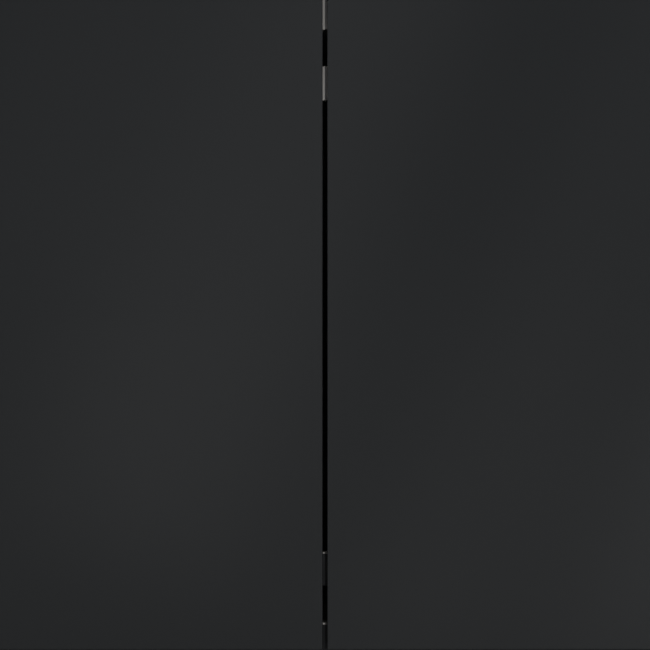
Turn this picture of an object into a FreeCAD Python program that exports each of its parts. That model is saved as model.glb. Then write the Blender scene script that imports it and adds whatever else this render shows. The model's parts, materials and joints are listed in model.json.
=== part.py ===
"""Two-door wardrobe with flat handleless doors, on concealed cup hinges and push latches.

Millimetres, +Z up, the doors face -Y. The origin is on the floor under the middle of the footprint.
Hinge and latch parts are drawn for the left door and mirrored in the plane X = 0 for the right one.
"""
import FreeCAD, Part
import os
from math import atan2, degrees
from FreeCAD import Rotation, Vector

# Driving dimensions
WIDTH, DEPTH, HEIGHT = 1000.0, 600.0, 2100.0
BOARD = 22.0                # carcass boards and doors
PLINTH_HEIGHT = 90.0
CENTRE_GAP = 3.0            # between the doors
DOOR_GAP = 2.0              # between a door and the carcass front
DOOR_REVEAL = 1.5           # door edge inside the carcass side
TOP_REVEAL = 2.0
BOTTOM_REVEAL = 7.0         # carcass bottom left uncovered by the doors
DOOR_ARRIS, BOARD_ARRIS = 0.8, 0.5
RAIL_HEIGHT = 22.0
RAIL_GAP = 23.0             # from a rail to the board beside it
LOWER_CLEAR_HEIGHT = 377.5  # between the carcass bottom and the fixed shelf
UPPER_SHELF_Z = 1790.0
BACK_THICKNESS = 8.0
BACK_INSET = 10.0
GROOVE_DEPTH = 8.0
CLEARANCE = 0.25
FIT = 0.05                  # radial clearance of a pin in its hole
UPPER_SHELF_SETBACK = 20.0
UPPER_SHELF_SIDE_GAP, UPPER_SHELF_BACK_GAP = 1.0, 2.0

# Values worked out from them
HALF_WIDTH = WIDTH / 2
CARCASS_FRONT = -DEPTH / 2 + BOARD + DOOR_GAP
CARCASS_BACK = DEPTH / 2
INNER_HALF = HALF_WIDTH - BOARD
BOTTOM_TOP = PLINTH_HEIGHT + BOARD
SHELF_Z = BOTTOM_TOP + LOWER_CLEAR_HEIGHT
TOP_UNDERSIDE = HEIGHT - BOARD
BACK_FRONT = CARCASS_BACK - BACK_INSET - BACK_THICKNESS
DOOR_BOTTOM = PLINTH_HEIGHT + BOTTOM_REVEAL
DOOR_TOP = HEIGHT - TOP_REVEAL
DOOR_FREE_EDGE = CENTRE_GAP / 2
X_AXIS, Y_AXIS, Z_AXIS = Vector(1, 0, 0), Vector(0, 1, 0), Vector(0, 0, 1)

# Cup hinge of the left door, seen from above: "across" is measured inwards from the outer face of the
# side panel and "ahead" forwards from the carcass front.
HINGES_PER_DOOR = 4
HINGE_END_DISTANCE = 100.0
ARM_PIVOT = (30.6, -8.0)
LINK_BEND = (22.5, 11.8)
CUP_PIVOT = (10.5, 6.8)
LINK_THICKNESS = 2.5
LINK_WIDTH = 13.0
LINK_EYE_RADIUS = 2.5
PIN_RADIUS = 1.25
CUP_CENTRE = 23.0
CUP_RADIUS = 17.45
CUP_WALL = 0.8
CUP_DEPTH = 12.9
CUP_PIN_LENGTH = 21.2
FLANGE_THICKNESS = 1.0
COLLAR_WIDTH = 1.5
RIM_RELIEF_CLEARANCE = 0.7
RIM_RELIEF_DEPTH = 3.0
CUP_SCREW_ACROSS = CUP_CENTRE + 9.5
CUP_SCREW_PITCH = 45.0
CUP_WING_INSIDE, CUP_WING_OUTSIDE, CUP_WING_END, CUP_WING_CORNER = 7.0, 5.0, 6.0, 3.0
PLATE_AHEAD = -37.0         # fixing line of the mounting plate
PLATE_SCREW_PITCH = 32.0
ARM_WIDTH = 19.0
ARM_WALL = 1.2
ARM_TOP = 36.2
ARM_LENGTH = 62.0
ARM_NOSE = 4.0              # arm in front of its pivot
ARM_CHEEK = 3.2             # arm side wall towards the side panel, from its pivot
ARM_SCREWS_AHEAD = (PLATE_AHEAD - 18.0, PLATE_AHEAD + 2.0)
PLATE_BACK, PLATE_FRONT = PLATE_AHEAD - 28.0, PLATE_AHEAD + 9.0
PLATE_HALF_HEIGHT = 8.0
PLATE_WING_HALF, PLATE_WING_THICKNESS = 7.0, 2.0
WING_MARGIN = 8.0           # from a plate screw to the end of its wing

# Push latches, two for each door
LATCH_X = 45.0
LATCH_WIDTH, LATCH_HEIGHT, LATCH_LENGTH = 16.0, 14.0, 76.0
LATCH_SETBACK = 1.0
PLUNGER_RADIUS = 4.4
PLUNGER_LENGTH, PLUNGER_CHAMFER = 46.0, 0.6
PLUNGER_STROKE = 2.5
PLUNGER_FIT = 0.2           # radial clearance of the plunger in its bore
LATCH_SPRING_ROOM = 16.0
LATCH_EAR_REACH, LATCH_EAR_THICKNESS = 18.0, 3.0
LATCH_EAR_START, LATCH_EAR_LENGTH = 30.0, 14.0
LATCH_SCREW_OFFSET = 13.5
STRIKE_RADIUS, STRIKE_THICKNESS = 8.0, 0.8
STRIKE_GAP = 0.3
LATCH_BOARD_UNDERSIDES = {"top": TOP_UNDERSIDE, "middle": SHELF_Z}

# Fixings of the boards
JOINT_DOWELS_Y = (-150.0, 150.0)
JOINT_CAMS_Y = (-200.0, 200.0)
CAM_RADIUS, CAM_DEPTH, CAM_FROM_END = 7.5, 13.5, 34.0
CAM_SLOT_LENGTH, CAM_SLOT_WIDTH, CAM_SLOT_DEPTH = 10.0, 1.5, 3.0
DOWEL_RADIUS, DOWEL_LENGTH, DOWEL_IN_SIDE = 4.0, 35.0, 10.0
BOLT_RADIUS, BOLT_IN_SIDE = 3.0, 11.0
SHELF_PIN_RADIUS, SHELF_PIN_LENGTH, SHELF_PIN_IN_SIDE = 2.5, 19.0, 10.0
SHELF_PINS_Y = (CARCASS_FRONT + 57.0, BACK_FRONT - 39.0)

# Screws: shank radius, head radius and head height
WOOD_SCREW = (1.75, 3.4, 1.8)
CUP_SCREW = (1.75, 3.5, 0.8)
LATCH_SCREW = (1.75, 3.2, 1.5)
PLATE_SCREW = (2.5, 4.0, 2.0)
ARM_SCREW = (2.0, 2.9, 2.0)
PLINTH_SCREW = (2.0, 4.0, 2.0)
WOOD_SCREW_LENGTH, PLATE_SCREW_LENGTH, ARM_SCREW_LENGTH = 14.0, 13.0, 9.0
RECESS_WIDTH, RECESS_SHARE = 0.9, 0.6

# Rails
RAIL_SETBACK, RAIL_DEPTH, RAIL_WALL, RAIL_ARRIS = 1.0, 16.0, 1.5, 1.0
RAIL_PLATE_THICKNESS, RAIL_PLATE_LENGTH = 2.0, 44.0
SPIGOT_LENGTH, SPIGOT_CLEARANCE = 18.0, 0.2
RAIL_SCREWS_BEHIND = (24.0, 39.0)
HANGING_RAIL_Z = 1725.0
HANGING_RAIL_HEIGHT, HANGING_RAIL_THICKNESS, TUBE_WALL = 30.0, 15.0, 1.2
HANGING_RAIL_END_GAP = 0.2
ROSE_HEIGHT, ROSE_WIDTH, ROSE_THICKNESS = 56.0, 26.0, 3.0
SLEEVE_LENGTH, SLEEVE_WALL = 15.0, 2.5
SLEEVE_MOUTH = 4.0          # open top of the sleeve above the rail's middle
ROSE_SCREW_OFFSET = 21.5

# Anti-tip brackets
WALL_BRACKET_X, WALL_BRACKET_HALF, WALL_BRACKET_LEG, WALL_BRACKET_STEEL = 350.0, 15.0, 40.0, 2.5
WALL_HOLE_RADIUS, WALL_HOLE_DROP = 3.25, 24.0
WALL_HOLE_MARGIN = 1.0      # the hole in the back panel is that much wider
WALL_BRACKET_SCREW_OFFSET, WALL_BRACKET_SCREW_INSET = 8.0, 26.0

# Plinth
PLINTH_BOARD = 18.0
PLINTH_SETBACK, PLINTH_BACK_INSET, PLINTH_SIDE_INSET = 40.0, 20.0, 2.0
PLINTH_HALF_WIDTH = HALF_WIDTH - PLINTH_SIDE_INSET
PLINTH_SCREW_OFFSET, PLINTH_SCREW_IN_PANEL = 11.0, 14.0
GLIDE_HEIGHT, GLIDE_RADIUS, GLIDE_ARRIS = 10.0, 16.0, 1.5
GLIDE_FACE = 1.0            # pad under the stem, and gap between the pad and the plinth
STEM_RADIUS, STEM_LENGTH = 4.0, 45.0
BLOCK_SIZE, BLOCK_HEIGHT = 40.0, 60.0

# Door bumpers
BUMPER_RADIUS, BUMPER_THICKNESS, BUMPER_ROUNDING = 4.0, 1.0, 0.7
BUMPERS_Z = (BOTTOM_TOP - 7.0, HEIGHT - 9.0)
BUMPERS_X = (-20.0, -HALF_WIDTH + 60.0)


def box(x0, x1, y0, y1, z0, z1):
    return Part.makeBox(x1 - x0, y1 - y0, z1 - z0, Vector(x0, y0, z0))


def eased(board, radius):
    """The board with all its arrises rounded."""
    return board.makeFillet(radius, board.Edges)


def rod(radius, length, start, direction):
    return Part.makeCylinder(radius, length, start, direction)


def group(shapes):
    return Part.makeCompound(list(shapes))


def cross_recess(reach, depth, top, outward):
    """The tool that leaves a cross recess in a screw head."""
    half = RECESS_WIDTH / 2
    arm = box(-reach, reach, -half, half, -depth, 0)
    cross = arm.fuse(arm.rotated(Vector(), Z_AXIS, 90))
    cross.Placement = FreeCAD.Placement(top, Rotation(Z_AXIS, outward))
    return cross


def screw(kind, seat, inward, length):
    """A screw whose head lies on the seat point and whose shank runs inwards to a point."""
    shank_radius, head_radius, head_height = kind
    point = 2 * shank_radius
    head = rod(head_radius, head_height, seat, -inward)
    shank = rod(shank_radius, length - point, seat, inward)
    tip = Part.makeCone(shank_radius, 0, point, seat + inward * (length - point), inward)
    top = seat - inward * head_height
    recess = cross_recess(RECESS_SHARE * head_radius, RECESS_SHARE * head_height, top, -inward)
    return shank.fuse([head, tip]).removeSplitter().cut(recess)


def cut_all(shape, tools):
    return shape.cut(list(tools)).removeSplitter()


def mirrored(shape):
    return shape.mirror(Vector(0, 0, 0), X_AXIS)


def place(across, ahead, z=0.0):
    """A point of the left door's hinge in the wardrobe's own axes."""
    return Vector(-HALF_WIDTH + across, CARCASS_FRONT - ahead, z)


def place_box(across0, across1, ahead0, ahead1, z0, z1):
    near, far = place(across0, ahead1), place(across1, ahead0)
    return box(near.x, far.x, near.y, far.y, z0, z1)


def hinge_heights():
    first, last = DOOR_BOTTOM + HINGE_END_DISTANCE, DOOR_TOP - HINGE_END_DISTANCE
    step = (last - first) / (HINGES_PER_DOOR - 1)
    return [first + step * i for i in range(HINGES_PER_DOOR)]


# Fixings between the boards

def joint_boards():
    """Underside height of each board that is fixed between the sides."""
    return [PLINTH_HEIGHT, SHELF_Z, TOP_UNDERSIDE]


def joint_points(offsets):
    for underside in joint_boards():
        for y in offsets:
            for side in (-1, 1):
                yield side, y, underside + BOARD / 2


def dowel_solids():
    for side, y, z in joint_points(JOINT_DOWELS_Y):
        start = Vector(side * (INNER_HALF + DOWEL_IN_SIDE), y, z)
        yield rod(DOWEL_RADIUS, DOWEL_LENGTH, start, X_AXIS * -side)


def cam_solids():
    for side, y, z in joint_points(JOINT_CAMS_Y):
        start = Vector(side * (INNER_HALF - CAM_FROM_END), y, z - BOARD / 2)
        cam = rod(CAM_RADIUS, CAM_DEPTH, start, Z_AXIS)
        half = CAM_SLOT_LENGTH / 2
        slot = box(start.x - half, start.x + half, y - CAM_SLOT_WIDTH / 2, y + CAM_SLOT_WIDTH / 2,
                   start.z, start.z + CAM_SLOT_DEPTH)
        yield cam.cut(slot).cut(slot.rotated(start, Z_AXIS, 90))


def cam_holes():
    for side, y, z in joint_points(JOINT_CAMS_Y):
        start = Vector(side * (INNER_HALF - CAM_FROM_END), y, z - BOARD / 2)
        yield rod(CAM_RADIUS, CAM_DEPTH, start, Z_AXIS)


def cam_bolt_solids():
    length = BOLT_IN_SIDE + CAM_FROM_END - CAM_RADIUS
    for side, y, z in joint_points(JOINT_CAMS_Y):
        start = Vector(side * (INNER_HALF + BOLT_IN_SIDE), y, z)
        yield rod(BOLT_RADIUS, length, start, X_AXIS * -side)


def joint_holes():
    return [*dowel_solids(), *cam_holes(), *cam_bolt_solids()]


# Carcass boards

def back_panel():
    reach = INNER_HALF + GROOVE_DEPTH - CLEARANCE
    low = BOTTOM_TOP - GROOVE_DEPTH + CLEARANCE
    high = TOP_UNDERSIDE + GROOVE_DEPTH - CLEARANCE
    panel = box(-reach, reach, BACK_FRONT, BACK_FRONT + BACK_THICKNESS, low, high)
    return cut_all(panel, wall_screw_holes(WALL_HOLE_RADIUS + WALL_HOLE_MARGIN))


def back_groove():
    reach = INNER_HALF + GROOVE_DEPTH
    low, high = BOTTOM_TOP - GROOVE_DEPTH, TOP_UNDERSIDE + GROOVE_DEPTH
    return box(-reach, reach, BACK_FRONT, BACK_FRONT + BACK_THICKNESS, low, high)


def left_side_panel():
    panel = box(-HALF_WIDTH, -INNER_HALF, CARCASS_FRONT, CARCASS_BACK, PLINTH_HEIGHT, HEIGHT)
    panel = eased(panel, BOARD_ARRIS)
    holes = [back_groove(), *joint_holes(), *plate_screw_solids(), *shelf_pin_solids()]
    holes += [*rail_screw_solids(), *hanging_rail_screw_solids()]
    return cut_all(panel, holes)


def fixed_board(underside, depth_end):
    board = box(-INNER_HALF, INNER_HALF, CARCASS_FRONT, depth_end, underside, underside + BOARD)
    return cut_all(eased(board, BOARD_ARRIS), joint_holes())


def top_panel():
    holes = [back_groove(), *latch_screw_solids(), *wall_bracket_screw_solids()]
    return cut_all(fixed_board(TOP_UNDERSIDE, CARCASS_BACK), holes)


def bottom_panel():
    return cut_all(fixed_board(PLINTH_HEIGHT, CARCASS_BACK), [back_groove(), *plinth_screw_solids()])


def fixed_shelf():
    return cut_all(fixed_board(SHELF_Z, BACK_FRONT - CLEARANCE), latch_screw_solids())


def upper_shelf():
    half = INNER_HALF - UPPER_SHELF_SIDE_GAP
    front, back = CARCASS_FRONT + UPPER_SHELF_SETBACK, BACK_FRONT - UPPER_SHELF_BACK_GAP
    return eased(box(-half, half, front, back, UPPER_SHELF_Z, UPPER_SHELF_Z + BOARD), BOARD_ARRIS)


def shelf_pin_solids():
    z = UPPER_SHELF_Z - SHELF_PIN_RADIUS
    for y in SHELF_PINS_Y:
        for side in (-1, 1):
            start = Vector(side * (INNER_HALF + SHELF_PIN_IN_SIDE), y, z)
            yield rod(SHELF_PIN_RADIUS, SHELF_PIN_LENGTH, start, X_AXIS * -side)


# Plinth

def plinth_front_y():
    return CARCASS_FRONT + PLINTH_SETBACK


def plinth_back_y():
    return CARCASS_BACK - PLINTH_BACK_INSET


def plinth_board(x0, x1, y0, y1):
    return eased(box(x0, x1, y0, y1, GLIDE_HEIGHT, PLINTH_HEIGHT), BOARD_ARRIS)


def plinth_front():
    y = plinth_front_y()
    return plinth_board(-PLINTH_HALF_WIDTH, PLINTH_HALF_WIDTH, y, y + PLINTH_BOARD)


def plinth_rear():
    y = plinth_back_y()
    return plinth_board(-PLINTH_HALF_WIDTH, PLINTH_HALF_WIDTH, y - PLINTH_BOARD, y)


def plinth_left_end():
    x = -PLINTH_HALF_WIDTH
    return plinth_board(x, x + PLINTH_BOARD, plinth_front_y() + PLINTH_BOARD,
                        plinth_back_y() - PLINTH_BOARD)


def plinth_centre_brace():
    half = PLINTH_BOARD / 2
    return plinth_board(-half, half, plinth_front_y() + PLINTH_BOARD, plinth_back_y() - PLINTH_BOARD)


def block_centres():
    x = PLINTH_HALF_WIDTH - PLINTH_BOARD - BLOCK_SIZE / 2
    inset = PLINTH_BOARD + BLOCK_SIZE / 2
    for side in (-1, 1):
        for y in (plinth_front_y() + inset, plinth_back_y() - inset):
            yield side * x, y


def block_solids():
    half = BLOCK_SIZE / 2
    for x, y in block_centres():
        low = PLINTH_HEIGHT - BLOCK_HEIGHT
        block = box(x - half, x + half, y - half, y + half, low, PLINTH_HEIGHT)
        stem_hole = rod(STEM_RADIUS + FIT, STEM_LENGTH, Vector(x, y, GLIDE_HEIGHT), Z_AXIS)
        yield block.cut([stem_hole, *plinth_screw_solids()])


def plinth_screw_solids():
    for x, y in block_centres():
        for offset in (-PLINTH_SCREW_OFFSET, PLINTH_SCREW_OFFSET):
            seat = Vector(x + offset, y + offset, PLINTH_HEIGHT - BLOCK_HEIGHT)
            yield screw(PLINTH_SCREW, seat, Z_AXIS, BLOCK_HEIGHT + PLINTH_SCREW_IN_PANEL)


def glide(x, y):
    pad = rod(GLIDE_RADIUS, GLIDE_HEIGHT - GLIDE_FACE, Vector(x, y, 0), Z_AXIS)
    pad = pad.makeChamfer(GLIDE_ARRIS, pad.Edges)
    stem = rod(STEM_RADIUS, STEM_LENGTH, Vector(x, y, GLIDE_FACE), Z_AXIS)
    return pad.fuse(stem).removeSplitter()


# Square rails and the hanging rail

def square_rail(underside):
    half = INNER_HALF - RAIL_PLATE_THICKNESS
    y0, y1 = CARCASS_FRONT + RAIL_SETBACK, CARCASS_FRONT + RAIL_SETBACK + RAIL_DEPTH
    top = underside + RAIL_HEIGHT
    tube = box(-half, half, y0, y1, underside, top)
    arrises = [e for e in tube.Edges if abs(e.Vertexes[0].X - e.Vertexes[1].X) > half]
    tube = tube.makeFillet(RAIL_ARRIS, arrises)
    low, high = underside + RAIL_WALL, top - RAIL_WALL
    return tube.cut(box(-half, half, y0 + RAIL_WALL, y1 - RAIL_WALL, low, high))


def rail_undersides():
    return {"shoe_rail": BOTTOM_TOP + RAIL_GAP, "accessory_rail": SHELF_Z - RAIL_GAP - RAIL_HEIGHT}


def rail_end_plate(underside):
    x0 = -INNER_HALF
    x1 = x0 + RAIL_PLATE_THICKNESS
    y0 = CARCASS_FRONT + RAIL_SETBACK
    inset = RAIL_WALL + SPIGOT_CLEARANCE
    top = underside + RAIL_HEIGHT
    plate = box(x0, x1, y0, y0 + RAIL_PLATE_LENGTH, underside, top)
    spigot = box(x1, x1 + SPIGOT_LENGTH, y0 + inset, y0 + RAIL_DEPTH - inset,
                 underside + inset, top - inset)
    return plate.fuse(spigot).removeSplitter().cut(list(rail_screw_solids()))


def rail_screw_solids():
    x = -INNER_HALF + RAIL_PLATE_THICKNESS
    for underside in rail_undersides().values():
        for behind in RAIL_SCREWS_BEHIND:
            seat = Vector(x, CARCASS_FRONT + behind, underside + RAIL_HEIGHT / 2)
            yield screw(WOOD_SCREW, seat, -X_AXIS, WOOD_SCREW_LENGTH)


def stadium(height, thickness, x0, x1):
    """A rod along X with flat sides and half-round top and bottom."""
    straight = (height - thickness) / 2
    core = box(x0, x1, -thickness / 2, thickness / 2, HANGING_RAIL_Z - straight, HANGING_RAIL_Z + straight)
    ends = [rod(thickness / 2, x1 - x0, Vector(x0, 0, HANGING_RAIL_Z + z), X_AXIS)
            for z in (-straight, straight)]
    return core.fuse(ends).removeSplitter()


def hanging_rail():
    half = INNER_HALF - ROSE_THICKNESS - HANGING_RAIL_END_GAP
    outside = stadium(HANGING_RAIL_HEIGHT, HANGING_RAIL_THICKNESS, -half, half)
    inner_height = HANGING_RAIL_HEIGHT - 2 * TUBE_WALL
    inner_thickness = HANGING_RAIL_THICKNESS - 2 * TUBE_WALL
    return outside.cut(stadium(inner_height, inner_thickness, -half, half))


def hanging_rail_bracket():
    x0 = -INNER_HALF
    x1 = x0 + ROSE_THICKNESS
    x2 = x1 + SLEEVE_LENGTH
    rose = stadium(ROSE_HEIGHT, ROSE_WIDTH, x0, x1)
    sleeve = stadium(HANGING_RAIL_HEIGHT + 2 * SLEEVE_WALL, HANGING_RAIL_THICKNESS + 2 * SLEEVE_WALL, x1, x2)
    seat = stadium(HANGING_RAIL_HEIGHT + 2 * FIT, HANGING_RAIL_THICKNESS + 2 * FIT, x1, x2)
    mouth = box(x1, x2, -HANGING_RAIL_THICKNESS, HANGING_RAIL_THICKNESS,
                HANGING_RAIL_Z + SLEEVE_MOUTH, HANGING_RAIL_Z + HANGING_RAIL_HEIGHT)
    cup = sleeve.cut([seat, mouth])
    return rose.fuse(cup).removeSplitter().cut(list(hanging_rail_screw_solids()))


def hanging_rail_screw_solids():
    for offset in (-ROSE_SCREW_OFFSET, ROSE_SCREW_OFFSET):
        seat = Vector(-INNER_HALF + ROSE_THICKNESS, 0, HANGING_RAIL_Z + offset)
        yield screw(WOOD_SCREW, seat, -X_AXIS, WOOD_SCREW_LENGTH)


# Anti-tip brackets

def wall_bracket():
    x0, x1 = -WALL_BRACKET_X - WALL_BRACKET_HALF, -WALL_BRACKET_X + WALL_BRACKET_HALF
    low, front = TOP_UNDERSIDE - WALL_BRACKET_LEG, BACK_FRONT - WALL_BRACKET_LEG
    upright = box(x0, x1, BACK_FRONT - WALL_BRACKET_STEEL, BACK_FRONT, low, TOP_UNDERSIDE)
    flat = box(x0, x1, front, BACK_FRONT, TOP_UNDERSIDE - WALL_BRACKET_STEEL, TOP_UNDERSIDE)
    angle = upright.fuse(flat).removeSplitter()
    return angle.cut([*wall_screw_holes(WALL_HOLE_RADIUS), *wall_bracket_screw_solids()])


def wall_screw_holes(radius):
    y, z = BACK_FRONT - 2 * WALL_BRACKET_STEEL, TOP_UNDERSIDE - WALL_HOLE_DROP
    for side in (-1, 1):
        start = Vector(side * WALL_BRACKET_X, y, z)
        yield rod(radius, BACK_THICKNESS + 4 * WALL_BRACKET_STEEL, start, Y_AXIS)


def wall_bracket_screw_solids():
    y, z = BACK_FRONT - WALL_BRACKET_SCREW_INSET, TOP_UNDERSIDE - WALL_BRACKET_STEEL
    for side in (-1, 1):
        for offset in (-WALL_BRACKET_SCREW_OFFSET, WALL_BRACKET_SCREW_OFFSET):
            seat = Vector(side * WALL_BRACKET_X + offset, y, z)
            yield screw(WOOD_SCREW, seat, Z_AXIS, WOOD_SCREW_LENGTH)


# Doors

def left_door():
    front = place(0, DOOR_GAP + BOARD).y
    door = box(-HALF_WIDTH + DOOR_REVEAL, -DOOR_FREE_EDGE, front, front + BOARD, DOOR_BOTTOM, DOOR_TOP)
    door = eased(door, DOOR_ARRIS)
    cups = [rod(CUP_RADIUS, CUP_DEPTH, place(CUP_CENTRE, DOOR_GAP, z), -Y_AXIS) for z in hinge_heights()]
    return cut_all(door, [*cups, *cup_screw_solids()])


def strike_plate_solids():
    for underside in LATCH_BOARD_UNDERSIDES.values():
        start = Vector(-LATCH_X, CARCASS_FRONT - DOOR_GAP, underside - LATCH_HEIGHT / 2)
        yield rod(STRIKE_RADIUS, STRIKE_THICKNESS, start, Y_AXIS)


def bumper_solids():
    base_y = CARCASS_FRONT - DOOR_GAP
    for z in BUMPERS_Z:
        for x in BUMPERS_X:
            pad = rod(BUMPER_RADIUS, BUMPER_THICKNESS, Vector(x, base_y, z), Y_AXIS)
            rim = [e for e in pad.Edges if e.Closed and e.Curve.Center.y > base_y + BUMPER_THICKNESS / 2]
            yield pad.makeFillet(BUMPER_ROUNDING, rim)


# Cup hinges

def cup_pin(z):
    return rod(PIN_RADIUS, CUP_PIN_LENGTH, place(*CUP_PIVOT, z - CUP_PIN_LENGTH / 2), Z_AXIS)


def arm_pin(z):
    return rod(PIN_RADIUS, ARM_WIDTH, place(*ARM_PIVOT, z - ARM_WIDTH / 2), Z_AXIS)


def hinge_cup(z):
    mouth = place(CUP_CENTRE, DOOR_GAP, z)
    face = place(CUP_CENTRE, DOOR_GAP - FLANGE_THICKNESS, z)
    can = rod(CUP_RADIUS, CUP_DEPTH, mouth, -Y_AXIS)
    collar = rod(CUP_RADIUS + COLLAR_WIDTH, FLANGE_THICKNESS, mouth, Y_AXIS)
    reach = CUP_SCREW_PITCH / 2 + CUP_WING_END
    wings = place_box(CUP_SCREW_ACROSS - CUP_WING_INSIDE, CUP_SCREW_ACROSS + CUP_WING_OUTSIDE,
                      DOOR_GAP - FLANGE_THICKNESS, DOOR_GAP, z - reach, z + reach)
    corners = [e for e in wings.Edges if abs(e.Vertexes[0].Y - e.Vertexes[1].Y) > FLANGE_THICKNESS / 2]
    wings = wings.makeFillet(CUP_WING_CORNER, corners)
    bowl = rod(CUP_RADIUS - CUP_WALL, CUP_DEPTH - CUP_WALL + FLANGE_THICKNESS, face, -Y_AXIS)
    # The rim is open beside the pivot, so that the link can lie there when the door is wide open.
    relief_half = LINK_WIDTH / 2 + RIM_RELIEF_CLEARANCE
    relief = place_box(0, CUP_PIVOT[0], DOOR_GAP - FLANGE_THICKNESS, DOOR_GAP + RIM_RELIEF_DEPTH,
                       z - relief_half, z + relief_half)
    return can.fuse([collar, wings]).removeSplitter().cut([bowl, relief, cup_pin(z), *cup_screws(z)])


def cup_screws(z):
    for offset in (-CUP_SCREW_PITCH / 2, CUP_SCREW_PITCH / 2):
        seat = place(CUP_SCREW_ACROSS, DOOR_GAP - FLANGE_THICKNESS, z + offset)
        yield screw(CUP_SCREW, seat, -Y_AXIS, WOOD_SCREW_LENGTH)


def cup_screw_solids():
    for z in hinge_heights():
        yield from cup_screws(z)


def link_bar(start, end, z):
    """A flat bar with round ends between two points of the hinge plan."""
    first, last = place(*start, z - LINK_WIDTH / 2), place(*end, z - LINK_WIDTH / 2)
    run = last - first
    bar = box(0, run.Length, -LINK_THICKNESS / 2, LINK_THICKNESS / 2, 0, LINK_WIDTH)
    bar.Placement = FreeCAD.Placement(first, Rotation(Z_AXIS, degrees(atan2(run.y, run.x))))
    return bar.fuse(rod(LINK_THICKNESS / 2, LINK_WIDTH, last, Z_AXIS))


def hinge_link(z):
    eyes, holes = [], []
    for pivot in (ARM_PIVOT, CUP_PIVOT):
        foot = place(*pivot, z - LINK_WIDTH / 2)
        eyes.append(rod(LINK_EYE_RADIUS, LINK_WIDTH, foot, Z_AXIS))
        holes.append(rod(PIN_RADIUS + FIT, LINK_WIDTH, foot, Z_AXIS))
    bars = [link_bar(ARM_PIVOT, LINK_BEND, z), link_bar(CUP_PIVOT, LINK_BEND, z)]
    return bars[0].fuse([bars[1], *eyes]).removeSplitter().cut(holes)


def hinge_arm(z):
    half = ARM_WIDTH / 2
    back, front = ARM_PIVOT[1] - ARM_LENGTH + ARM_NOSE, ARM_PIVOT[1] + ARM_NOSE
    outer = place_box(ARM_PIVOT[0] - ARM_CHEEK, ARM_TOP, back, front, z - half, z + half)
    inner = place_box(0, ARM_TOP - ARM_WALL, back, front, z - half + ARM_WALL, z + half - ARM_WALL)
    return outer.cut([inner, arm_pin(z), *arm_screw_holes(z)])


def arm_screw_seats(z):
    for ahead in ARM_SCREWS_AHEAD:
        yield place(ARM_TOP - ARM_WALL, ahead, z)


def arm_screw_holes(z):
    radius = ARM_SCREW[1] + FIT
    for seat in arm_screw_seats(z):
        yield rod(radius, ARM_WALL, seat, X_AXIS)


def arm_screws(z):
    for seat in arm_screw_seats(z):
        yield screw(ARM_SCREW, seat, -X_AXIS, ARM_SCREW_LENGTH)


def mounting_plate(z):
    half = PLATE_HALF_HEIGHT
    saddle = place_box(BOARD, ARM_TOP - ARM_WALL, PLATE_BACK, PLATE_FRONT, z - half, z + half)
    wing_reach = PLATE_SCREW_PITCH / 2 + WING_MARGIN
    wings = place_box(BOARD, BOARD + PLATE_WING_THICKNESS, PLATE_AHEAD - PLATE_WING_HALF,
                      PLATE_AHEAD + PLATE_WING_HALF, z - wing_reach, z + wing_reach)
    return saddle.fuse(wings).removeSplitter().cut([*plate_screws(z), *arm_screws(z)])


def plate_screws(z):
    for offset in (-PLATE_SCREW_PITCH / 2, PLATE_SCREW_PITCH / 2):
        seat = place(BOARD + PLATE_WING_THICKNESS, PLATE_AHEAD, z + offset)
        yield screw(PLATE_SCREW, seat, -X_AXIS, PLATE_SCREW_LENGTH)


def plate_screw_solids():
    for z in hinge_heights():
        yield from plate_screws(z)


def arm_screw_solids():
    for z in hinge_heights():
        yield from arm_screws(z)


def per_hinge(make):
    return group(make(z) for z in hinge_heights())


# Push latches

def latch_housing(underside):
    half = LATCH_WIDTH / 2
    y0 = CARCASS_FRONT + LATCH_SETBACK
    shell = box(-LATCH_X - half, -LATCH_X + half, y0, y0 + LATCH_LENGTH, underside - LATCH_HEIGHT, underside)
    ear_start = y0 + LATCH_EAR_START
    ears = box(-LATCH_X - LATCH_EAR_REACH, -LATCH_X + LATCH_EAR_REACH, ear_start,
               ear_start + LATCH_EAR_LENGTH, underside - LATCH_EAR_THICKNESS, underside)
    axis_start = Vector(-LATCH_X, y0, underside - LATCH_HEIGHT / 2)
    bore_depth = PLUNGER_LENGTH + PLUNGER_STROKE + LATCH_SPRING_ROOM
    bore = rod(PLUNGER_RADIUS + PLUNGER_FIT, bore_depth, axis_start, Y_AXIS)
    return shell.fuse(ears).removeSplitter().cut([bore, *latch_screw_solids()])


def latch_screw_solids():
    y = CARCASS_FRONT + LATCH_SETBACK + LATCH_EAR_START + LATCH_EAR_LENGTH / 2
    for side in (-1, 1):
        for underside in LATCH_BOARD_UNDERSIDES.values():
            for offset in (-LATCH_SCREW_OFFSET, LATCH_SCREW_OFFSET):
                seat = Vector(side * LATCH_X + offset, y, underside - LATCH_EAR_THICKNESS)
                yield screw(LATCH_SCREW, seat, Z_AXIS, WOOD_SCREW_LENGTH)


def latch_plunger(underside):
    tip = CARCASS_FRONT - DOOR_GAP + STRIKE_THICKNESS + STRIKE_GAP
    start = Vector(-LATCH_X, tip, underside - LATCH_HEIGHT / 2)
    stem = rod(PLUNGER_RADIUS, PLUNGER_LENGTH, start, Y_AXIS)
    rim = [e for e in stem.Edges if e.Closed]
    return stem.makeChamfer(PLUNGER_CHAMFER, rim)


def paired(name, shape):
    return {f"left_{name}": shape, f"right_{name}": mirrored(shape)}


def both_sides(solids):
    """One group of small identical pieces from the left side and their mirror images."""
    shapes = list(solids)
    return group(shapes + [mirrored(shape) for shape in shapes])


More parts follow.
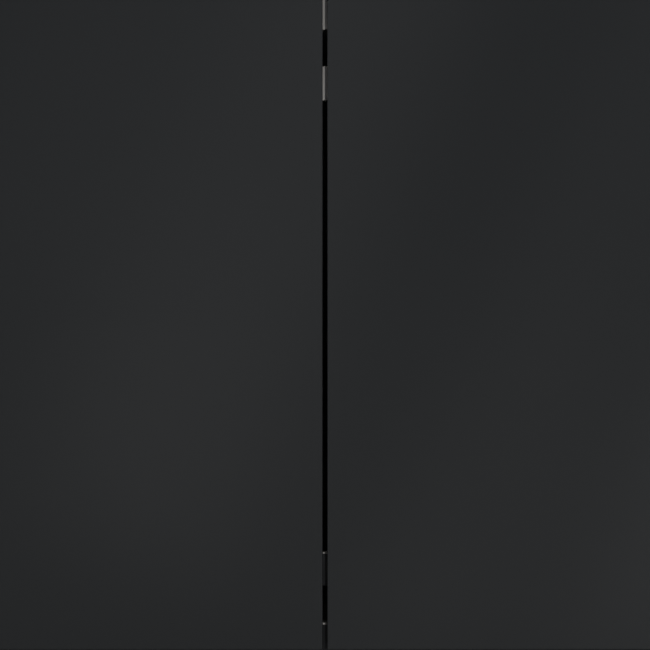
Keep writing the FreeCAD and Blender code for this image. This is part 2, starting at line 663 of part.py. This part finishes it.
def carcass_nodes():
    nodes = {
        "top_panel": top_panel(),
        "bottom_panel": bottom_panel(),
        "fixed_shelf": fixed_shelf(),
        "upper_shelf": upper_shelf(),
        "back_panel": back_panel(),
        "plinth_front": plinth_front(),
        "plinth_rear": plinth_rear(),
        "plinth_centre_brace": plinth_centre_brace(),
        "plinth_corner_blocks": group(block_solids()),
        "plinth_screws": group(plinth_screw_solids()),
        "shelf_pins": group(shelf_pin_solids()),
        "dowels": group(dowel_solids()),
        "cam_locks": group(cam_solids()),
        "cam_bolts": group(cam_bolt_solids()),
        "hanging_rail": hanging_rail(),
        "wall_bracket_screws": group(wall_bracket_screw_solids()),
        "latch_screws": group(latch_screw_solids()),
        "hanging_rail_brackets": both_sides([hanging_rail_bracket()]),
        "hanging_rail_screws": both_sides(hanging_rail_screw_solids()),
        "rail_end_plates": both_sides(rail_end_plate(z) for z in rail_undersides().values()),
        "rail_end_screws": both_sides(rail_screw_solids()),
    }
    nodes.update(paired("side_panel", left_side_panel()))
    nodes.update(paired("plinth_end", plinth_left_end()))
    nodes.update(paired("wall_bracket", wall_bracket()))
    for name, underside in rail_undersides().items():
        nodes[name] = square_rail(underside)
    for number, (x, y) in enumerate(block_centres(), 1):
        nodes[f"levelling_glide_{number}"] = glide(x, y)
    return nodes


def door_nodes():
    nodes = paired("door", left_door())
    nodes.update(paired("strike_plates", group(strike_plate_solids())))
    nodes.update(paired("door_bumpers", group(bumper_solids())))
    nodes.update(paired("hinge_cups", per_hinge(hinge_cup)))
    nodes.update(paired("cup_screws", group(cup_screw_solids())))
    nodes.update(paired("cup_pins", per_hinge(cup_pin)))
    nodes.update(paired("hinge_links", per_hinge(hinge_link)))
    nodes.update(paired("hinge_arms", per_hinge(hinge_arm)))
    nodes["arm_pins"] = both_sides(arm_pin(z) for z in hinge_heights())
    nodes["mounting_plates"] = both_sides(mounting_plate(z) for z in hinge_heights())
    nodes["plate_screws"] = both_sides([*plate_screw_solids(), *arm_screw_solids()])
    return nodes


def latch_nodes():
    nodes = {}
    for level, underside in LATCH_BOARD_UNDERSIDES.items():
        nodes.update(paired(f"{level}_latch_housing", latch_housing(underside)))
        nodes.update(paired(f"{level}_latch_plunger", latch_plunger(underside)))
    return nodes


os.makedirs("parts", exist_ok=True)
for node_name, node_shape in {**carcass_nodes(), **door_nodes(), **latch_nodes()}.items():
    node_shape.exportStep(f"parts/{node_name}.step")
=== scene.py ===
import json
import math

import bpy
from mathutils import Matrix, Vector

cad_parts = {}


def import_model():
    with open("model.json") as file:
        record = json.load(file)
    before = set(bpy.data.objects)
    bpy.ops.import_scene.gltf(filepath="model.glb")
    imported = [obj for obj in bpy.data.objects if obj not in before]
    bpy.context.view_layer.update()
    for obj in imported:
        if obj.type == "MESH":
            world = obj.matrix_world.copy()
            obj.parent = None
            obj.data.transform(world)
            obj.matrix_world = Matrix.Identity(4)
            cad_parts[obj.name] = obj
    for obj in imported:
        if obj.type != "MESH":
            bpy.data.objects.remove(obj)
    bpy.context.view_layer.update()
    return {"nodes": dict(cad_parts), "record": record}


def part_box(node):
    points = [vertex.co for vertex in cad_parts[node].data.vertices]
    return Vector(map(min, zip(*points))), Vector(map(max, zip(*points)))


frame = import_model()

NODES = frame["nodes"]
MM = 0.001

# What the camera sees: a square of the doors standing on their lower edge
DOOR_LOW, DOOR_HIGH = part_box("left_door")
DOOR_FACE_Y = DOOR_LOW.y
CARCASS_FRONT_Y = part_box("fixed_shelf")[0].y
CARCASS_BACK_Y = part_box("left_side_panel")[1].y
GAP_MIDDLE_X = (DOOR_HIGH.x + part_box("right_door")[0].x) / 2
PICTURE_SIZE = 409 * MM
CAMERA_DISTANCE = 2.0
SENSOR_WIDTH = 36.0
PICTURE_MIDDLE_Z = DOOR_LOW.z + PICTURE_SIZE / 2

# Colours
ANTHRACITE = (0.018, 0.020, 0.022)
DOOR_ANTHRACITE = (0.0095, 0.0108, 0.0119)
# Painted shade: near-black laid on the fronts of the bottom board and shoe rail, where the light
# through the gap is dim
PAINTED_SHADE_BLACK = (0.008, 0.009, 0.010)
GLIDE_BLACK = (0.02, 0.02, 0.02)
WARM_GREY = (0.40, 0.385, 0.36)
CHIPBOARD, CHIPBOARD_DARK = (0.40, 0.27, 0.15), (0.22, 0.13, 0.065)
HARDBOARD, HARDBOARD_DARK = (0.25, 0.155, 0.085), (0.15, 0.085, 0.045)
BEECH = (0.52, 0.36, 0.21)
PINE = (0.58, 0.43, 0.25)
LATCH_GREY = (0.16, 0.16, 0.165)
SILICONE = (0.82, 0.84, 0.85)
ALUMINIUM = (0.66, 0.66, 0.67)
NICKEL = (0.62, 0.61, 0.59)
BRIGHT_STEEL = (0.62, 0.62, 0.63)
SCREW_ZINC = (0.60, 0.61, 0.62)
SHEET_ZINC = (0.55, 0.56, 0.57)
CAST_ZINC = (0.50, 0.50, 0.51)
FLOOR_GREY = (0.62, 0.615, 0.605)
SKY = (0.93, 0.96, 1.0)

# Sizes of surface detail
EDGE_BAND = 1.0 * MM            # how deep the smooth band reaches into a board's front
JOINT_LINE = 0.08 * MM          # half the dark line between band and board
PAINTED_HIGHLIGHT_LINE = 1.2 * MM           # height of the painted highlight line kept above a front painted black as shade
RAIL_FRONT = 2.0 * MM           # depth of a rail's front that can take the painted black shade
BARE_SKIN = 0.05 * MM           # depth of the bare faces at the back
PLUNGER_CAP = 1.2 * MM          # length of a plunger's steel cap

# Most noise lies between these values, so they are stretched to the whole range
NOISE_LOW, NOISE_HIGH = 0.3, 0.7
EVEN = (1, 1, 1)

# Reflection strips in front of the doors, with name, distance right of the gap, shift along the
# strip, width and brightness
STRIP_DISTANCE = 0.7
STRIP_LENGTH = 1.5
STRIP_LEAN = math.radians(24)
STRIPS = [
    ("strip_far_left", -0.30, 0.80, 0.20, 0.20),
    ("strip_left", -0.10, 0.55, 0.20, 0.38),
    ("strip_right", 0.20, 0.40, 0.10, 0.30),
    ("strip_far_right", 0.40, 0.20, 0.10, 0.60),
]
DOORS = ["left_door", "right_door"]
# The right door is a touch out of line, which shifts the bands across the gap
RIGHT_DOOR_SLOPE = -0.010

# The small light that shines through the gap between the doors
SLIT_SIDE = math.radians(3.9)
SLIT_REACH = 2.6
SLIT_CONE = math.radians(16)
SLIT_BLEND = 0.3
SLIT_POWER = 80
SLIT_RADIUS = 0.01
BEHIND_GAP = ["fixed_shelf", "accessory_rail", "shoe_rail", "bottom_panel"]

# Studio lights: name, where the light comes from, strength and spread in degrees
SUNS = [
    ("key_light", (-2.4, -2.6, 4.2), 1.2, 60),
    ("fill_light", (2.2, 3.2, 2.8), 1.2, 70),
]
# Softboxes at the sides: name and place
SOFTBOXES = [
    ("left_softbox", (-4.2, -1.0, 1.9)),
    ("right_softbox", (4.2, -0.6, 1.8)),
]
SOFTBOX_TARGET = (0, 0, 1.0)
SOFTBOX_WIDTH, SOFTBOX_HEIGHT = 1.6, 2.4
SOFTBOX_POWER = 30
SKY_STRENGTH = 0.30
FLOOR_HALF = 40.0


# Surfaces

class Surface:
    """A material under construction: a principled shader and the textures wired to it."""

    def __init__(self, name, colour, roughness, metallic=0.0):
        self.material = bpy.data.materials.new(name)
        self.material.use_nodes = True
        self.tree = self.material.node_tree
        self.shader = self.tree.nodes["Principled BSDF"]
        self.shader.inputs["Base Color"].default_value = (*colour, 1)
        self.shader.inputs["Roughness"].default_value = roughness
        self.shader.inputs["Metallic"].default_value = metallic
        self.colour = colour
        self.roughness = roughness
        self.place = self.add("ShaderNodeTexCoord").outputs["Object"]
        self.height = None

    def add(self, kind, **settings):
        node = self.tree.nodes.new(kind)
        for key, value in settings.items():
            setattr(node, key, value)
        return node

    def link(self, source, target):
        self.tree.links.new(source, target)

    def set(self, socket, value):
        self.shader.inputs[socket].default_value = value

    def stretched(self, scale):
        mapping = self.add("ShaderNodeMapping")
        mapping.inputs["Scale"].default_value = scale
        self.link(self.place, mapping.inputs["Vector"])
        return mapping.outputs["Vector"]

    def noise(self, scale, detail=2.0, stretch=EVEN, roughness=0.5):
        """Noise with features about 1 / scale metres across, from 0 to 1."""
        node = self.add("ShaderNodeTexNoise")
        node.inputs["Scale"].default_value = scale
        node.inputs["Detail"].default_value = detail
        node.inputs["Roughness"].default_value = roughness
        self.link(self.stretched(stretch), node.inputs["Vector"])
        return node.outputs["Fac"]

    def cells(self, scale):
        """Patches about 1 / scale metres across, each with its own random colour."""
        node = self.add("ShaderNodeTexVoronoi")
        node.inputs["Scale"].default_value = scale
        self.link(self.place, node.inputs["Vector"])
        return node.outputs["Color"]

    def axis(self, name):
        split = self.add("ShaderNodeSeparateXYZ")
        self.link(self.place, split.inputs["Vector"])
        return split.outputs[name]

    def math(self, operation, first, second):
        node = self.add("ShaderNodeMath", operation=operation)
        for socket, value in zip(node.inputs, (first, second)):
            if isinstance(value, (int, float)):
                socket.default_value = value
            else:
                self.link(value, socket)
        return node.outputs["Value"]

    def near(self, value, target, distance):
        """1 where value is within distance of target, 0 elsewhere."""
        mask = self.math("COMPARE", value, target)
        mask.node.inputs[2].default_value = distance
        return mask

    def remap(self, value, low, high, new_low, new_high):
        node = self.add("ShaderNodeMapRange")
        node.inputs["From Min"].default_value = low
        node.inputs["From Max"].default_value = high
        node.inputs["To Min"].default_value = new_low
        node.inputs["To Max"].default_value = new_high
        self.link(value, node.inputs["Value"])
        return node.outputs["Result"]

    def tint(self, mask, other):
        """Where mask is 1 the surface takes the other colour."""
        socket = self.shader.inputs["Base Color"]
        mix = self.add("ShaderNodeMix", data_type="RGBA")
        colour_inputs = [s for s in mix.inputs if s.type == "RGBA"]
        colour_outputs = [s for s in mix.outputs if s.type == "RGBA"]
        if socket.is_linked:
            self.link(socket.links[0].from_socket, colour_inputs[0])
        else:
            colour_inputs[0].default_value = (*self.colour, 1)
        colour_inputs[1].default_value = (*other, 1)
        self.link(mask, mix.inputs["Factor"])
        self.link(colour_outputs[0], socket)

    def shade(self, value, amount):
        """Darkens the colour by up to amount as value rises."""
        darker = tuple(c * (1 - amount) for c in self.colour)
        self.tint(self.remap(value, NOISE_LOW, NOISE_HIGH, 0.0, 1.0), darker)

    def vary_roughness(self, value, amount):
        low, high = self.roughness - amount, self.roughness + amount
        varied = self.remap(value, NOISE_LOW, NOISE_HIGH, low, high)
        self.link(varied, self.shader.inputs["Roughness"])

    def polish(self, mask, roughness):
        """Where mask is 1 the surface has the other roughness."""
        polished = self.remap(mask, 0.0, 1.0, self.roughness, roughness)
        self.link(polished, self.shader.inputs["Roughness"])

    def raise_by(self, value, metres):
        """Adds relief: value from 0 to 1 becomes that many metres of height."""
        step = self.math("MULTIPLY", value, metres)
        self.height = step if self.height is None else self.math("ADD", self.height, step)

    def done(self):
        """Wires the relief, whose heights are in metres, and gives the finished material."""
        if self.height is not None:
            bump = self.add("ShaderNodeBump")
            bump.inputs["Distance"].default_value = 1.0
            bump.inputs["Strength"].default_value = 1.0
            self.link(self.height, bump.inputs["Height"])
            self.link(bump.outputs["Normal"], self.shader.inputs["Normal"])
        return self.material


# Materials

def door_lacquer(name, slope, stretch):
    """Satin anthracite lacquer on board: fine orange peel, a slight bow and faint handling marks."""
    s = Surface(name, DOOR_ANTHRACITE, 0.25)
    s.set("IOR", 1.40)
    s.shade(s.noise(1.4, 1.0, stretch), 0.05)
    s.vary_roughness(s.noise(7.0, 4.0, stretch), 0.018)
    s.raise_by(s.noise(900.0, 2.0), 0.002 * MM)
    s.raise_by(s.noise(1.6, 0.0, stretch), 1.6 * MM)
    s.raise_by(s.axis("X"), slope)
    return s.done()


def paint_shade_on_front(surface, front, top_z):
    """Painted shade: dull black on the part of the front that lies under a painted highlight line at
    the upper arris.
    """
    surface.set("Specular IOR Level", 0.08)
    below = surface.math("LESS_THAN", surface.axis("Z"), top_z - PAINTED_HIGHLIGHT_LINE)
    surface.tint(surface.math("MULTIPLY", front, below), PAINTED_SHADE_BLACK)


def linen_melamine(name, colour, painted_shade_below=None):
    """Melamine with a pressed linen weave, smooth edge bands in front and raw chipboard at the back."""
    s = Surface(name, colour, 0.42)
    depth = s.axis("Y")
    band_end = CARCASS_FRONT_Y + EDGE_BAND
    pressed = s.math("GREATER_THAN", depth, band_end)
    band = s.math("LESS_THAN", depth, band_end)
    s.shade(s.noise(3.0, 3.0), 0.05)
    for stretch in ((1.0, 0.06, 0.06), (0.06, 1.0, 1.0)):
        threads = s.math("MULTIPLY", s.noise(1100.0, 1.0, stretch), pressed)
        s.shade(threads, 0.10)
        s.raise_by(threads, 0.05 * MM)
    s.polish(band, 0.13)
    # Painted shade: the front band goes black below a painted highlight line at its top
    if painted_shade_below is not None:
        paint_shade_on_front(s, band, painted_shade_below)
    s.tint(s.near(depth, band_end, JOINT_LINE), tuple(0.45 * c for c in colour))
    chips = s.remap(s.noise(240.0, 6.0, (1, 1, 1.6), 0.75), 0.42, 0.58, 0.0, 1.0)
    raw = s.math("GREATER_THAN", depth, CARCASS_BACK_Y - BARE_SKIN)
    s.tint(raw, CHIPBOARD)
    s.tint(s.math("MULTIPLY", raw, chips), CHIPBOARD_DARK)
    return s.done()


def back_board():
    """Thin board, grey inside and bare brown hardboard behind."""
    s = Surface("back_board", WARM_GREY, 0.55)
    s.shade(s.noise(3.0, 3.0), 0.05)
    bare = s.math("GREATER_THAN", s.axis("Y"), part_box("back_panel")[1].y - BARE_SKIN)
    s.tint(bare, HARDBOARD)
    fibres = s.remap(s.noise(320.0, 6.0, EVEN, 0.75), 0.4, 0.7, 0.0, 1.0)
    s.tint(s.math("MULTIPLY", bare, fibres), HARDBOARD_DARK)
    s.raise_by(s.noise(700.0, 4.0), 0.04 * MM)
    return s.done()


def plain_board(name, colour):
    """Painted board with a faint uneven film."""
    s = Surface(name, colour, 0.5)
    s.shade(s.noise(5.0, 3.0), 0.12)
    s.vary_roughness(s.noise(30.0, 4.0), 0.05)
    s.raise_by(s.noise(1100.0, 2.0), 0.02 * MM)
    return s.done()


def powder_coat(name, colour, painted_shade_below=None):
    """Smooth, fairly glossy coating on a metal rail."""
    s = Surface(name, colour, 0.13)
    s.shade(s.noise(60.0, 4.0), 0.05)
    s.vary_roughness(s.noise(200.0, 2.0), 0.02)
    s.raise_by(s.noise(1800.0, 2.0), 0.002 * MM)
    # Painted shade: the rail's front goes black below a painted highlight line at its top
    if painted_shade_below is not None:
        front = s.math("LESS_THAN", s.axis("Y"), CARCASS_FRONT_Y + RAIL_FRONT)
        paint_shade_on_front(s, front, painted_shade_below)
    return s.done()


def brushed_metal(name, colour, roughness, stretch):
    """Metal with fine lines along the axis whose stretch is smallest."""
    s = Surface(name, colour, roughness, 1.0)
    lines = s.noise(2500.0, 3.0, stretch)
    s.shade(lines, 0.10)
    s.vary_roughness(s.noise(70.0, 5.0), 0.08)
    s.raise_by(lines, 0.006 * MM)
    return s.done()


def galvanised():
    """Zinc-coated sheet with its patches of crystals."""
    s = Surface("galvanised_sheet", SHEET_ZINC, 0.42, 1.0)
    s.shade(s.cells(160.0), 0.25)
    s.vary_roughness(s.noise(90.0, 4.0), 0.1)
    s.raise_by(s.noise(500.0, 4.0), 0.01 * MM)
    return s.done()


def moulded_plastic(name, colour, roughness=0.5):
    """Plastic with the fine spark-eroded grain of a mould."""
    s = Surface(name, colour, roughness)
    s.shade(s.noise(40.0, 3.0), 0.08)
    s.vary_roughness(s.noise(150.0, 4.0), 0.06)
    s.raise_by(s.noise(2600.0, 2.0), 0.01 * MM)
    return s.done()


def magnet_tipped(name, colour):
    """Moulded plunger with a bright steel cap on its front end."""
    s = Surface(name, colour, 0.4)
    cap_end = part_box("left_top_latch_plunger")[0].y + PLUNGER_CAP
    cap = s.math("LESS_THAN", s.axis("Y"), cap_end)
    s.tint(cap, BRIGHT_STEEL)
    s.link(cap, s.shader.inputs["Metallic"])
    s.raise_by(s.noise(1800.0, 3.0), 0.01 * MM)
    return s.done()


def clear_silicone():
    """Cloudy see-through rubber."""
    s = Surface("bumper_silicone", SILICONE, 0.35)
    s.set("Transmission Weight", 0.6)
    s.set("IOR", 1.41)
    s.raise_by(s.noise(1500.0, 1.0), 0.006 * MM)
    return s.done()


def timber(name, colour, grain_axis_stretch):
    """Bare wood; the grain runs along the axis whose stretch is smallest."""
    s = Surface(name, colour, 0.6)
    dark = tuple(c * 0.55 for c in colour)
    rings = s.noise(120.0, 4.0, grain_axis_stretch)
    s.tint(s.remap(rings, 0.45, 0.62, 0.0, 0.8), dark)
    s.raise_by(rings, 0.06 * MM)
    return s.done()


def top_of(node):
    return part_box(node)[1].z


def make_materials():
    """Materials by node name, for all latch plungers together, or by slot in the record."""
    return {
        "left_door": door_lacquer("left_door_lacquer", 0.0, (1.0, 1.0, 0.6)),
        "right_door": door_lacquer("right_door_lacquer", RIGHT_DOOR_SLOPE, (0.8, 1.0, 0.7)),
        "carcass_melamine": linen_melamine("carcass_melamine", WARM_GREY),
        # The bottom board and shoe rail get painted shade on their fronts, with a painted highlight
        # line at the top
        "bottom_panel": linen_melamine("bottom_panel_melamine_painted_shade", WARM_GREY, top_of("bottom_panel")),
        "back_panel": back_board(),
        "plinth_board": plain_board("plinth_board", ANTHRACITE),
        "rail_paint": powder_coat("rail_coat", WARM_GREY),
        "shoe_rail": powder_coat("shoe_rail_coat_painted_shade", WARM_GREY, top_of("shoe_rail")),
        "rail_aluminium": brushed_metal("rail_aluminium", ALUMINIUM, 0.32, (0.02, 1, 1)),
        "hinge_steel": brushed_metal("hinge_nickel", NICKEL, 0.24, (1, 0.1, 0.1)),
        "screw_steel": brushed_metal("screw_zinc", SCREW_ZINC, 0.30, EVEN),
        "bracket_steel": galvanised(),
        "cam_zinc": brushed_metal("cam_zinc", CAST_ZINC, 0.42, EVEN),
        "latch_plastic": moulded_plastic("latch_plastic", LATCH_GREY),
        "latch_plunger": magnet_tipped("latch_plunger", LATCH_GREY),
        "glide_plastic": moulded_plastic("glide_plastic", GLIDE_BLACK, 0.45),
        "dowel_beech": timber("dowel_beech", BEECH, (0.05, 1, 1)),
        "block_pine": timber("block_pine", PINE, (1, 1, 0.08)),
        "bumper_silicone": clear_silicone(),
    }


def material_key(part, materials):
    name = part["node"]
    if name in materials:
        return name
    if name.endswith("plunger"):
        return "latch_plunger"
    return part["material_slot"]


def give_materials(materials):
    for part in frame["record"]["subparts"]:
        mesh = NODES[part["node"]].data
        mesh.materials.clear()
        mesh.materials.append(materials[material_key(part, materials)])


# Studio

def matte(name, colour):
    """Dull, nearly even paint."""
    s = Surface(name, colour, 0.8)
    s.shade(s.noise(2.0, 3.0), 0.03)
    return s.done()


def add_object(name, data, location=(0, 0, 0)):
    obj = bpy.data.objects.new(name, data)
    obj.location = location
    bpy.context.scene.collection.objects.link(obj)
    return obj


def floor():
    half = FLOOR_HALF
    mesh = bpy.data.meshes.new("studio_floor")
    corners = [(-half, -half, 0), (half, -half, 0), (half, half, 0), (-half, half, 0)]
    mesh.from_pydata(corners, [], [(0, 1, 2, 3)])
    mesh.materials.append(matte("studio_floor", FLOOR_GREY))
    add_object("studio_floor", mesh)


def aim(obj, target):
    direction = Vector(target) - obj.location
    obj.rotation_euler = direction.to_track_quat("-Z", "Y").to_euler()


def area_light(name, location, target, width, height, power, roll=0.0):
    data = bpy.data.lights.new(name, "AREA")
    data.shape = "RECTANGLE"
    data.size, data.size_y = width, height
    data.energy = power
    obj = add_object(name, data, location)
    aim(obj, target)
    obj.rotation_euler.rotate_axis("Z", roll)
    return obj


def spot_light(name, location, target, angle, blend, power, radius):
    data = bpy.data.lights.new(name, "SPOT")
    data.spot_size = angle
    data.spot_blend = blend
    data.energy = power
    data.shadow_soft_size = radius
    obj = add_object(name, data, location)
    aim(obj, target)
    return obj


def world(colour, strength):
    data = bpy.data.worlds.new("studio")
    data.use_nodes = True
    background = data.node_tree.nodes["Background"]
    background.inputs["Color"].default_value = (*colour, 1)
    background.inputs["Strength"].default_value = strength
    bpy.context.scene.world = data


def only_on(light, names):
    """The light reaches these nodes only; everything still shades them from it."""
    receivers = bpy.data.collections.new(light.name + "_receivers")
    for name in names:
        receivers.objects.link(NODES[name])
    light.light_linking.receiver_collection = receivers


def reflection_strips():
    """Dim leaning strips near the doors, which show in the satin lacquer as soft bands."""
    for name, across, shift, width, brightness in STRIPS:
        x = GAP_MIDDLE_X + across + shift * math.sin(STRIP_LEAN)
        z = PICTURE_MIDDLE_Z + shift * math.cos(STRIP_LEAN)
        start = (x, DOOR_FACE_Y - STRIP_DISTANCE, z)
        power = math.pi * width * STRIP_LENGTH * brightness
        on_door = (x, DOOR_FACE_Y, z)
        strip = area_light(name, start, on_door, width, STRIP_LENGTH, power, roll=-STRIP_LEAN)
        strip.visible_camera = False
        only_on(strip, DOORS)


def slit_light():
    """A small light a little to the right of the camera, which reaches the carcass through the gap."""
    start_x = GAP_MIDDLE_X + SLIT_REACH * math.tan(SLIT_SIDE)
    start = (start_x, DOOR_FACE_Y - SLIT_REACH, PICTURE_MIDDLE_Z)
    target = (GAP_MIDDLE_X, DOOR_FACE_Y, PICTURE_MIDDLE_Z)
    spot = spot_light("slit_spot", start, target, SLIT_CONE, SLIT_BLEND, SLIT_POWER, SLIT_RADIUS)
    only_on(spot, BEHIND_GAP)


def soft_sun(name, direction, strength, spread):
    """Wide, even light that falls from the given direction over object and floor alike."""
    data = bpy.data.lights.new(name, "SUN")
    data.energy = strength
    data.angle = math.radians(spread)
    aim(add_object(name, data, direction), (0, 0, 0))


def lights():
    world(SKY, SKY_STRENGTH)
    for name, direction, strength, spread in SUNS:
        soft_sun(name, direction, strength, spread)
    for name, place in SOFTBOXES:
        area_light(name, place, SOFTBOX_TARGET, SOFTBOX_WIDTH, SOFTBOX_HEIGHT, SOFTBOX_POWER)
    reflection_strips()
    slit_light()


def camera():
    data = bpy.data.cameras.new("camera")
    data.sensor_width = SENSOR_WIDTH
    data.lens = SENSOR_WIDTH * CAMERA_DISTANCE / PICTURE_SIZE
    place = (GAP_MIDDLE_X, DOOR_FACE_Y - CAMERA_DISTANCE, PICTURE_MIDDLE_Z)
    obj = add_object("camera", data, place)
    obj.rotation_euler = (math.radians(90), 0, 0)
    bpy.context.scene.camera = obj


bpy.context.scene.view_settings.view_transform = "Standard"
give_materials(make_materials())
floor()
lights()
camera()
